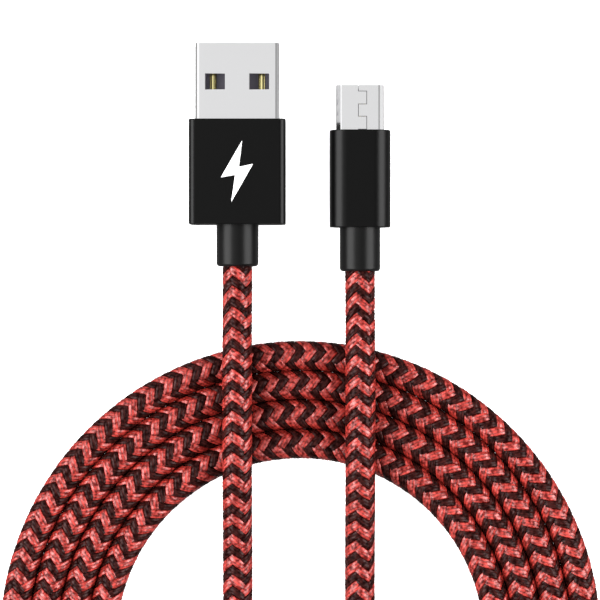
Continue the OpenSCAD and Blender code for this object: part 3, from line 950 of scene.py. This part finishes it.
@dataclass
class BraidedCord:
    """The braided cord: a dark core and twelve yarns that pass over two and under two."""

    route: CordRoute
    carriers: int = 12
    period: float = 2.95 * MM
    samples_per_wave: int = 12
    over_radius: float = 1.9 * MM
    under_radius: float = 1.6 * MM
    core_radius: float = 1.66 * MM
    core_step: float = 1.5 * MM
    yarn_half_width: float = 0.62 * MM
    red_girth: float = 1.08
    black_girth: float = 0.92
    yarn_half_height: float = 0.27 * MM
    yarn_top: tuple[Span, ...] = (
        (1, 0.0), (0.72, 0.86), (0.34, 0.74), (0, 1.0), (-0.34, 0.74), (-0.72, 0.86), (-1, 0.0),
    )
    yarn_base: float = 0.6
    # How fast the painted shade of a diving yarn fades as it rises.
    rise_slope: float = 0.6
    dive_steepness: float = 3.0
    crossing_lift: float = 0.14
    left_lay_share: float = -0.17
    pinch: float = 0.12
    wander: float = 0.012 * MM
    wander_step: int = 20
    column_turn: float = -2.0
    column_twist: float = -20.0
    pattern_start: float = 0.54
    pattern_extra: float = -0.00174
    length: float = 1.045
    columns: int = 4

    def build(self) -> bpy.types.Object:
        """Returns:
            The core.
        """
        line = self.route.line()
        core = self.core(line)
        yarns = self.yarns(line)
        a, b = self.route.tail_a[0], self.route.tail_b[0]
        long = float(np.linalg.norm(np.diff(line, axis=0), axis=1).sum())
        log.info("cord: %.4f m long, from %s to %s", long, a, b)
        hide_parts("cord_tail_usb_a", "cord_coil", "cord_tail_micro_b")
        return core

    def core(self, line: np.ndarray) -> bpy.types.Object:
        """Makes the dark jacket under the braid, as a curve of one spline.

        Args:
            line: The cord's middle line.

        Returns:
            The jacket.
        """
        points = line[:: max(1, round(self.core_step / self.route.fine_step))]
        if np.linalg.norm(points[-1] - line[-1]) > TINY:
            points = np.vstack([points, line[-1]])
        curve = bpy.data.curves.new("cord_jacket", "CURVE")
        curve.dimensions = "3D"
        curve.bevel_depth = self.core_radius
        curve.bevel_resolution = 4
        curve.use_fill_caps = True
        curve.twist_mode = "Z_UP"
        spline = curve.splines.new("POLY")
        spline.points.add(len(points) - 1)
        spline.points.foreach_set("co", np.column_stack([points, np.ones(len(points))]).ravel())
        curve.materials.append(Finish.JACKET.material())
        core = bpy.data.objects.new("cord_jacket", curve)
        bpy.context.scene.collection.objects.link(core)
        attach(core, BODY)
        log.info("piece cord_jacket: a curve of %d points, rides on %s", len(points), BODY)
        return core

    def frames(self, line: np.ndarray) -> tuple[np.ndarray, ...]:
        """Sets an upright frame at even points of the cord's middle line.

        Args:
            line: The middle line.

        Returns:
            The points, their directions, upright normals and side vectors, and how many of the pattern's
            waves there are up to each. The braid opens and closes a little over a bend, so that its waves
            stay even along the top of the cord, seen from above.
        """
        step = self.period / self.samples_per_wave
        points = even_steps(line, step)
        along = np.gradient(points, axis=0)
        along /= np.linalg.norm(along, axis=1)[:, None]
        upright = np.array([0, 0, 1.0]) - along * along[:, 2:3]
        upright /= np.linalg.norm(upright, axis=1)[:, None]
        crest = (points + self.over_radius * upright)[:, :2]
        seen = np.concatenate([[0], np.cumsum(np.linalg.norm(np.diff(crest, axis=0), axis=1))])
        return points, along, upright, np.cross(along, upright), seen / self.period

    def section(self) -> list[tuple[float, float, float]]:
        """Returns the yarn's outline: place across, height, and how far round it is."""
        wide, high = self.yarn_half_width, self.yarn_half_height
        top = [(wide * x, high * z, (1 - x) / 2) for x, z in self.yarn_top]
        base = self.yarn_base
        return [*top, (-base * wide, -base * high, 1.2), (base * wide, -base * high, 1.4)]

    def yarns(self, line: np.ndarray) -> list[bpy.types.Object]:
        """Makes all yarns, some to a piece.

        Args:
            line: The cord's middle line.

        Returns:
            The pieces.
        """
        per_lay = self.carriers // 2
        made = []
        grid = self.frames(line)
        noise = np.random.default_rng(SEED)
        for lay in Lay:
            for first, colour, finish, girth in (
                (0, "red", Finish.YARN_RED, self.red_girth),
                (1, "black", Finish.YARN_BLACK, self.black_girth),
            ):
                mine = range(first, per_lay, 2)
                for half in range(2):
                    name = f"yarn_{colour}_{lay.name.lower()}_lay_{half + 1}"
                    strands = [self.strand(grid, lay, i, girth, noise) for i in mine[half::2]]
                    made.append(dress(name, swept_mesh(name, strands, self.section()), finish))
        return made

    def strand(
        self, grid: tuple[np.ndarray, ...], lay: Lay, index: int, girth: float, noise: np.random.Generator
    ) -> tuple[np.ndarray, ...]:
        """Works out one yarn's middle line.

        The cord's surface is divided into columns along it: in every other one the left lay is on top,
        and in the rest the right lay. So a yarn's height depends only on how far round the cord it is.

        Args:
            grid: What frames() returned.
            lay: Which way it winds.
            index: Its number within its lay.
            girth: Its width against the usual one.
            noise: Where its small unevenness comes from.

        Returns:
            Its points, its directions across (scaled by its width) and outwards, its length up to each
            point, and how far it has risen to the top, from 0 to 1, which the material paints as shade where
            it dives.
        """
        points, _, upright, side, waves = grid
        count = len(points)
        units = -(4 * waves * (1 + self.pattern_extra) + self.pattern_start)
        # Place round the cord in units of a crossing, for the lattice of crossings.
        place = 2 * index - units if lay is Lay.LEFT else units + 2 * index
        share = np.linspace(0, 1, count)
        turn = self.column_turn + self.column_twist * share
        # The side vector points left of the way back to the first plug, so angles grow to its right.
        angle = np.radians(turn + (place - 0.5) * 360 / self.carriers)
        sign = 1 if lay is Lay.LEFT else -1
        swing = np.cos(2 * math.pi * (place - 0.5) / self.columns) + self.left_lay_share
        on_top = sign * swing + self.crossing_lift
        lift = np.clip(np.tanh(self.dive_steepness * on_top) / math.tanh(self.dive_steepness), -1, 1)
        middle = (self.over_radius + self.under_radius) / 2
        knots = np.arange(0, count + self.wander_step, self.wander_step)
        wander = np.interp(np.arange(count), knots, noise.normal(0, self.wander, len(knots)))
        radius = middle + (self.over_radius - self.under_radius) / 2 * lift + wander
        outwards = np.cos(angle)[:, None] * upright - np.sin(angle)[:, None] * side
        places = points + radius[:, None] * outwards
        heading = np.gradient(places, axis=0)
        heading /= np.linalg.norm(heading, axis=1)[:, None]
        across = np.cross(heading, outwards)
        across /= np.linalg.norm(across, axis=1)[:, None]
        out = np.cross(across, heading)
        travelled = np.concatenate([[0], np.cumsum(np.linalg.norm(np.diff(places, axis=0), axis=1))])
        width = girth * (1 - self.pinch * (1 - lift) / 2)
        # How far it has risen, which the material paints as shade where it dives.
        rise = np.clip(0.5 + self.rise_slope * lift, 0, 1)
        return places, across * width[:, None], out, travelled, rise


def swept_mesh(
    name: str, strands: Sequence[tuple[np.ndarray, ...]], section: Sequence[tuple[float, float, float]]
) -> bpy.types.Mesh:
    """Sweeps one outline along several lines, as closed tubes in one mesh.

    Args:
        name: The mesh's name.
        strands: For each line its points, its directions across and outwards, its lengths and its rise.
        section: The outline's points: place across, height, and how far round it is.

    Returns:
        The mesh, with a UV map named "yarn" that runs round and along each tube, in millimetres along.
    """
    sides = len(section)
    shape = np.array(section)
    rounds = [*shape[:, 2], 1.6]
    vertices, loops, uvs, starts, rises, base = [], [], [], [], [], 0
    for places, across, out, travelled, rise in strands:
        rings = len(places)
        wide, high = across[:, None, :] * shape[None, :, 0:1], out[:, None, :] * shape[None, :, 1:2]
        grid = places[:, None, :] + wide + high
        vertices.append(grid.reshape(-1, 3))
        rises.append(np.repeat(rise, sides))
        ring, corner = np.meshgrid(np.arange(rings - 1), np.arange(sides), indexing="ij")
        following = (corner + 1) % sides
        low, high = base + ring * sides, base + (ring + 1) * sides
        quads = np.stack([low + corner, low + following, high + following, high + corner], axis=-1)
        loops.append(quads.reshape(-1))
        round_low, round_high = np.take(rounds, corner), np.take(rounds, corner + 1)
        near, far = travelled[ring] / MM, travelled[ring + 1] / MM
        uv = np.stack([round_low, near, round_high, near, round_high, far, round_low, far], axis=-1)
        uvs.append(uv.reshape(-1, 2))
        for first, order in ((base, range(sides - 1, -1, -1)), (base + (rings - 1) * sides, range(sides))):
            loops.append(np.array([first + k for k in order]))
            uvs.append(np.array([(rounds[k], 0.0) for k in order]))
        starts += [4] * ((rings - 1) * sides) + [sides, sides]
        base += rings * sides
    mesh = bpy.data.meshes.new(name)
    points, corners = np.vstack(vertices), np.concatenate(loops)
    mesh.vertices.add(len(points))
    mesh.vertices.foreach_set("co", points.ravel())
    mesh.loops.add(len(corners))
    mesh.loops.foreach_set("vertex_index", corners)
    mesh.polygons.add(len(starts))
    mesh.polygons.foreach_set("loop_start", np.concatenate([[0], np.cumsum(starts)[:-1]]))
    mesh.uv_layers.new(name="yarn").data.foreach_set("uv", np.vstack(uvs).ravel())
    # The rise, which the yarn material paints as shade where a yarn dives.
    mesh.attributes.new("rise", "FLOAT", "POINT").data.foreach_set("value", np.concatenate(rises))
    mesh.update(calc_edges=True)
    mesh.validate()
    return mesh


# ---------------------------------------------------------------- the plugs


@dataclass
class Plug:
    """What both plugs have: a folded shell, a hollow sleeve and a boot round the cord."""

    kind: ClassVar[str]
    wall: float = 0.3 * MM
    seam: float = 0.08 * MM
    shell_corner: float = 0.6 * MM
    shell_arc: int = 8
    mouth_arc: int = 6
    sleeve_corner: float = 0.95 * MM
    sleeve_arc: int = 10
    bore_arc: int = 6
    sleeve_wall: float = 0.6 * MM
    sleeve_edge: float = 0.16 * MM
    front_wall: float = 0.8 * MM
    gap: float = 0.05 * MM
    past: float = 1 * MM
    neck_radius: float = 3 * MM
    neck_bore: float = 2.05 * MM
    neck_rim: float = 0.5 * MM
    neck_sides: int = 64
    flange_in: float = 0.1 * MM
    flange_arc: int = 6
    boot_edge: float = 0.05 * MM

    def __post_init__(self) -> None:
        """Works out the plug's axis from its sleeve's place."""
        middle = (self.sleeve_low + self.sleeve_high) / 2
        self.axis = Vector((middle.x, 0, middle.z))

    def corners(self, inset: float = 0.0) -> list[Span]:
        """Returns the shell's corners in X and Z, at a distance inside its outer face."""
        size = self.shell_high - self.shell_low
        return rectangle(size.x - 2 * inset, size.z - 2 * inset)

    def shell(self, openings: Sequence[Opening]) -> bpy.types.Object:
        """Makes the folded shell.

        Args:
            openings: Its openings.

        Returns:
            The shell.
        """
        sheet = outline(self.corners(), self.shell_corner, self.shell_arc)
        bm = folded(sheet, self.wall, self.shell_low.y, self.shell_high.y, openings)
        return piece_for(f"{self.kind}_shell", f"{self.kind}_plug_shell", moved(bm, self.axis))

    def sleeve(self) -> bpy.types.Object:
        """Makes the hollow sleeve with its eased front and back rims.

        Returns:
            The sleeve.
        """
        size = self.sleeve_high - self.sleeve_low
        rear, front = self.sleeve_low.y, self.sleeve_high.y
        section = outline(rectangle(size.x, size.z), self.sleeve_corner, self.sleeve_arc)
        solid = drawn_out(section, rear, front)
        eased(solid, rim_edges(solid, front) + rim_edges(solid, rear), self.sleeve_edge)
        cavity = rectangle(size.x - 2 * self.sleeve_wall, size.z - 2 * self.sleeve_wall)
        bore = outline(cavity, self.sleeve_corner - self.sleeve_wall, self.bore_arc)
        mouth = outline(self.corners(-self.gap), self.shell_corner, self.mouth_arc)
        wall = front - self.front_wall
        cutters = [
            drawn_out(bore, rear - self.past, wall),
            drawn_out(mouth, wall - self.past, front + self.past),
        ]
        hollow = moved(carved(solid, cutters), self.axis)
        return piece_for(f"{self.kind}_sleeve", f"{self.kind}_housing", hollow)

    def boot(self) -> None:
        """Makes the boot: a hollow neck turned about the cord, with a round end, and its flange."""
        node = f"{self.kind}_boot"
        low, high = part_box(node)
        start, rim = self.sleeve_low.y + self.flange_in, self.neck_rim
        end = [
            (self.neck_radius - rim + rim * math.sin(angle), low.y + rim - rim * math.cos(angle))
            for angle in (math.radians(a) for a in range(0, 91, 15))
        ]
        bm = bmesh.new()
        profile = [(self.neck_bore, start), (self.neck_bore, low.y), *end, (self.neck_radius, start)]
        turned = [bm.verts.new((r, y, 0)) for r, y in profile]
        edges = [bm.edges.new(pair) for pair in zip(turned, turned[1:])]
        full, steps = 2 * math.pi, self.neck_sides
        bmesh.ops.spin(
            bm, geom=turned + edges, cent=(0, 0, 0), axis=(0, 1, 0), angle=full, steps=steps, use_merge=True
        )
        bmesh.ops.remove_doubles(bm, verts=bm.verts[:], dist=TINY)
        bmesh.ops.bridge_loops(bm, edges=[e for e in bm.edges if e.is_boundary])
        corner = self.sleeve_corner - self.sleeve_wall - self.gap
        section = outline(rectangle(high.x - low.x, high.z - low.z), corner, self.flange_arc)
        flange = drawn_out(section, start, high.y)
        bmesh.ops.recalc_face_normals(joined(bm, flange), faces=bm.faces[:])
        boot = piece_for(node, f"{self.kind}_strain_relief", moved(bm, self.axis))
        eased_edges(boot, self.boot_edge, 2, 50)


@dataclass
class UsbAPlug(Plug):
    """The USB-A plug: shell, tongue with contacts, sleeve, boot and the printed mark."""

    kind: ClassVar[str] = "usb_a"
    shell_edge: float = 0.06 * MM
    housing_edge: float = 0.08 * MM
    window_middle: float = 3.15 * MM
    window_size: Span = (2.8 * MM, 2.25 * MM)
    window_from_tip: float = 5.55 * MM
    tongue_edge: float = 0.06 * MM
    contact_thick: float = 0.25 * MM
    contact_cuts: int = 9
    contact_edge: float = 0.02 * MM
    crown: float = 0.23 * MM
    mark_size: Span = (4.6 * MM, 8.8 * MM)
    mark_height: float = 0.02 * MM
    mark_corner: float = 0.14 * MM
    bolt: tuple[Span, ...] = (
        (0.16, 0.5), (-0.5, -0.1), (-0.06, -0.06), (-0.18, -0.5), (0.5, 0.12), (0.06, 0.07),
    )

    def __post_init__(self) -> None:
        """Reads the plug's place and outer sizes from the frame."""
        self.sleeve_low, self.sleeve_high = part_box("usb_a_sleeve")
        self.shell_low, self.shell_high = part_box("usb_a_shell")
        super().__post_init__()

    def build(self) -> None:
        """Builds every piece of the plug that shows."""
        eased_edges(self.shell(self.windows()), self.shell_edge, 3)
        eased_edges(self.sleeve(), self.housing_edge, 2)
        self.boot()
        self.mark()
        softened("usb_a_insulator", "usb_a_tongue", self.tongue_edge)
        for line in ("vbus", "data_minus", "data_plus", "ground"):
            self.contact(line)

    def windows(self) -> list[Opening]:
        """Lays out the shell's openings.

        Returns:
            The seam at the bottom, and two windows in each wide face.
        """
        rear, front = self.shell_low.y - self.past, self.shell_high.y + self.past
        width, length = self.window_size
        y = self.shell_high.y - self.window_from_tip
        openings = [Opening((-self.seam / 2, self.seam / 2), (rear, front), -1)]
        for middle in (-self.window_middle, self.window_middle):
            across, along = (middle - width / 2, middle + width / 2), (y - length / 2, y + length / 2)
            openings += [Opening(across, along, side) for side in (-1, 1)]
        return openings

    def contact(self, line: str) -> None:
        """Makes one contact with a crowned top and its nose turned down.

        Args:
            line: The line that it carries.
        """
        node = f"usb_a_contact_{line}"
        low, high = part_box(node)
        half = (high.x - low.x) / 2
        bar = outline(rectangle(2 * half, self.contact_thick), 0, 1)
        top = [e for e in bar.edges if all(v.co.z > 0 for v in e.verts)]
        bmesh.ops.subdivide_edges(bar, edges=top, cuts=self.contact_cuts)
        for vert in bar.verts:
            if vert.co.z > 0:
                vert.co.z -= self.crown * (vert.co.x / half) ** 2
        drawn_out(bar, low.y, high.y)
        moved(bar, ((low.x + high.x) / 2, 0, high.z - self.contact_thick / 2))
        thick = self.contact_thick
        nose = block((low.x, high.y - thick, low.z), (high.x, high.y, high.z - thick))
        eased_edges(piece_for(node, f"usb_a_{line}_contact", joined(bar, nose)), self.contact_edge, 2, 40)

    def mark(self) -> None:
        """Prints a plain lightning bolt, the common sign for charging, on the sleeve."""
        width, length = self.mark_size
        middle = (self.sleeve_low.y + self.sleeve_high.y) / 2
        bm = bmesh.new()
        bm.faces.new([bm.verts.new((x * width, y * length, 0)) for x, y in self.bolt])
        round_corners(bm, self.mark_corner, 4)
        grown = bmesh.ops.extrude_face_region(bm, geom=bm.faces[:])
        lowered = [v for v in grown["geom"] if isinstance(v, bmesh.types.BMVert)]
        bmesh.ops.translate(bm, verts=lowered, vec=(0, 0, -self.mark_height))
        bmesh.ops.recalc_face_normals(bm, faces=bm.faces[:])
        moved(bm, (self.axis.x, middle, self.sleeve_high.z + self.mark_height / 2))
        dress("charge_mark", mesh_of("charge_mark", bm), Finish.WHITE_INK)


@dataclass
class MicroBPlug(Plug):
    """The Micro-B plug: shell with its stepped seam, tongue with contacts, latches, sleeve and boot."""

    kind: ClassVar[str] = "micro_b"
    wall: float = 0.25 * MM
    shell_corner: float = 0.12 * MM
    shell_arc: int = 6
    sleeve_corner: float = 2.5 * MM
    sleeve_arc: int = 14
    bore_arc: int = 10
    sleeve_edge: float = 0.15 * MM
    neck_radius: float = 2.9 * MM
    slope_x: float = 2.75 * MM
    slope_z: float = 0.25 * MM
    slope_share: float = 0.45
    seam_x: Span = (-0.25 * MM, 0.95 * MM)
    seam_steps: tuple[float, ...] = (0.0, 0.9 * MM, 2.75 * MM, 4.5 * MM, 6.35 * MM, 8.1 * MM)
    hook_middle: float = 2.15 * MM
    hook_window: tuple[float, float, float] = (0.66 * MM, 3.14 * MM, 4.71 * MM)
    contact_edge: float = 0.03 * MM
    hook_edge: float = 0.04 * MM

    def __post_init__(self) -> None:
        """Reads the plug's place and outer sizes from the frame."""
        self.sleeve_low, self.sleeve_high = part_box("micro_b_sleeve")
        self.shell_low, self.shell_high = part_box("micro_b_shell")
        super().__post_init__()

    def build(self) -> None:
        """Builds every piece of the plug that shows."""
        crisp_edges(self.shell(self.windows()))
        crisp_edges(self.sleeve(), 40)
        self.boot()
        softened("micro_b_insulator", "micro_b_tongue", self.contact_edge)
        for line in ("vbus", "data_minus", "data_plus", "id", "ground"):
            softened(f"micro_b_contact_{line}", f"micro_b_{line}_contact", self.contact_edge)
        for side in ("left", "right"):
            softened(f"micro_b_latch_{side}", f"micro_b_{side}_hook", self.hook_edge, f"latch_{side}")

    def corners(self, inset: float = 0.0) -> list[Span]:
        """Returns the shell's corners, wide at the bottom, at a distance inside its outer face."""
        size = self.shell_high - self.shell_low
        w, h = size.x / 2 - inset, size.z / 2 - inset
        slope_x, slope_z = self.slope_x - self.slope_share * inset, self.slope_z - self.slope_share * inset
        return [(-w, -h), (w, -h), (w, slope_z), (slope_x, h), (-slope_x, h), (-w, slope_z)]

    def windows(self) -> list[Opening]:
        """Lays out the shell's openings.

        Returns:
            The stepped seam on top, and the hooks' windows below.
        """
        front, half = self.shell_high.y, self.seam / 2
        left, right = self.seam_x[0] - half, self.seam_x[1] + half
        ends = [*self.seam_steps[1:], front - self.shell_low.y + self.past]
        openings = []
        for i, (near, far) in enumerate(zip(self.seam_steps, ends)):
            x = self.seam_x[i % 2]
            openings.append(Opening((x - half, x + half), (front - far - half, front - near + half), 1))
            openings.append(Opening((left, right), (front - far - half, front - far + half), 1))
        width, back, ahead = self.hook_window
        y = self.sleeve_high.y
        for x in (-self.hook_middle, self.hook_middle):
            openings.append(Opening((x - width / 2, x + width / 2), (y + back, y + ahead), -1))
        return openings


# ---------------------------------------------------------------- the studio


@dataclass
class Studio:
    """A pale floor, soft light and a camera straight above."""

    picture_middle: Span = (1.45 * MM, -20.4 * MM)
    picture_width: float = 85.7 * MM
    lens: float = 200.0
    sensor: float = 36.0
    focus_height: float = 5.0 * MM
    clip: Span = (0.01, 10.0)
    # The room's tone from far left, -1, over straight up, 0, to far right, 1.
    room: tuple[Span, ...] = (
        (-1.0, 0.2), (-0.975, 0.22), (-0.94, 1.2), (-0.16, 1.2), (-0.08, 0.86), (0.1, 0.86), (0.19, 0.27),
        (0.35, 0.28), (0.5, 0.45), (0.75, 0.45), (0.88, 0.3), (0.965, 0.3), (0.98, 0.95), (1.0, 0.95),
    )
    below: float = 0.35
    horizon: Span = (-0.14, -0.07)
    floor_reach: float = 6.0
    floor_drop: float = 0.05 * MM
    # Each strip's place from the picture's middle, in metres, its width and length, and its watts.
    strips: tuple[tuple[str, tuple[float, float, float], Span, float], ...] = (
        ("left_strip", (-0.55, 0.0, 0.36), (0.5, 0.9), 11.4),
        ("right_strip", (0.57, 0.0, 0.34), (0.5, 0.9), 11.8),
    )

    def camera(self) -> None:
        """Sets up the camera with a long lens, looking straight down with +Y up in the picture."""
        data = bpy.data.cameras.new("camera")
        data.lens, data.sensor_width = self.lens, self.sensor
        data.clip_start, data.clip_end = self.clip
        camera = bpy.data.objects.new("camera", data)
        bpy.context.scene.collection.objects.link(camera)
        height = self.focus_height + self.picture_width * self.lens / self.sensor
        camera.location = (*self.picture_middle, height)
        bpy.context.scene.camera = camera

    def floor(self) -> None:
        """Lays a pale floor under the cable."""
        bm = bmesh.new()
        bmesh.ops.create_grid(bm, x_segments=1, y_segments=1, size=self.floor_reach)
        mesh = mesh_of("floor", bm)
        floor = bpy.data.objects.new("floor", mesh)
        bpy.context.scene.collection.objects.link(floor)
        floor.location = (0, 0, -self.floor_drop)
        # Matt white card that glows a little, so that no shadow greys it.
        values = {
            "Base Color": linear("#f2f2f2"),
            "Roughness": 0.9,
            "Specular IOR Level": 0.0,
            "Emission Color": (1, 1, 1, 1),
            "Emission Strength": 0.7,
        }
        mesh.materials.append(principled("pale_floor", values)[0])
        floor.visible_glossy = False
        floor.visible_diffuse = False

    def world(self) -> None:
        """Lights the room softly: white on the left, a darker wall high on the right, and grey below."""
        world = bpy.data.worlds.new("room")
        bpy.context.scene.world = world
        world.use_nodes = True
        tree = world.node_tree
        tree.nodes.clear()
        place = add_node(tree, "ShaderNodeTexCoord", {}, {})
        split = add_node(tree, "ShaderNodeSeparateXYZ", {}, {0: place.outputs["Generated"]})
        ramp = add_node(tree, "ShaderNodeValToRGB", {}, {0: remapped(tree, split.outputs[0], (-1, 1))})
        stops = ramp.color_ramp.elements
        for element, (side, tone) in zip((stops[0], stops[1]), (self.room[0], self.room[-1])):
            element.position, element.color = (side + 1) / 2, (tone, tone, tone, 1)
        for side, tone in self.room[1:-1]:
            stops.new((side + 1) / 2).color = (tone, tone, tone, 1)
        above = remapped(tree, split.outputs[2], self.horizon)
        settings = {"data_type": "RGBA", 6: (self.below, self.below, self.below, 1)}
        both = add_node(tree, "ShaderNodeMix", settings, {0: above, 7: ramp.outputs[0]})
        light = add_node(tree, "ShaderNodeBackground", {"Strength": 1.0}, {0: both.outputs[2]})
        add_node(tree, "ShaderNodeOutputWorld", {}, {0: light.outputs[0]})

    def strip(self, name: str, place: tuple[float, float, float], size: Span, power: float) -> None:
        """Adds a soft strip light aimed at the plugs, with its long side along them.

        Args:
            name: The lamp's name.
            place: Where it hangs, from the picture's middle, in metres.
            size: Its width and its length, in metres.
            power: Its power, in watts.
        """
        data = bpy.data.lights.new(name, "AREA")
        data.shape = "RECTANGLE"
        data.size_y, data.size = size
        data.energy = power
        lamp = bpy.data.objects.new(name, data)
        bpy.context.scene.collection.objects.link(lamp)
        target = Vector((*self.picture_middle, 0))
        lamp.location = target + Vector(place)
        lamp.rotation_mode = "QUATERNION"
        lamp.rotation_quaternion = (-Vector(place)).to_track_quat("-Z", "Y")
        lamp.visible_camera = False
        lamp.light_linking.receiver_collection = self.flagged()

    def flagged(self) -> bpy.types.Collection:
        """Finds the pieces that a flag keeps the strips off.

        Returns:
            The bright shells and contacts.
        """
        if "flagged" not in bpy.data.collections:
            flagged = bpy.data.collections.new("flagged")
            bright = (Finish.NICKEL_PLATE.material(), Finish.GOLD_PLATE.material())
            for piece in bpy.context.scene.objects:
                if piece.type == "MESH" and any(m in bright for m in piece.data.materials[:]):
                    flagged.objects.link(piece)
            for held in flagged.collection_objects:
                held.light_linking.link_state = "EXCLUDE"
        return bpy.data.collections["flagged"]

    def build(self) -> None:
        """Builds the floor and the lights."""
        self.floor()
        self.world()
        for strip in self.strips:
            self.strip(*strip)
        bpy.context.scene.view_settings.view_transform = "Standard"


def dress_inner_nodes() -> None:
    """Gives each CAD node that still shows its finish."""
    for name, node in frame["nodes"].items():
        if node.hide_render:
            continue
        finish, slot = finish_of(name)
        node.data.materials.clear()
        node.data.materials.append(finish.material())


def write_sizes() -> None:
    """Updates the view layer."""
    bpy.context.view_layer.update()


def main() -> None:
    """Builds the cable and its studio."""
    logging.basicConfig(level=logging.INFO)
    studio = Studio()
    studio.camera()
    BraidedCord(CordRoute(TAIL_A_ROUTE, TAIL_B_ROUTE)).build()
    UsbAPlug().build()
    MicroBPlug().build()
    dress_inner_nodes()
    studio.build()
    write_sizes()


if __name__ == "__main__":
    main()
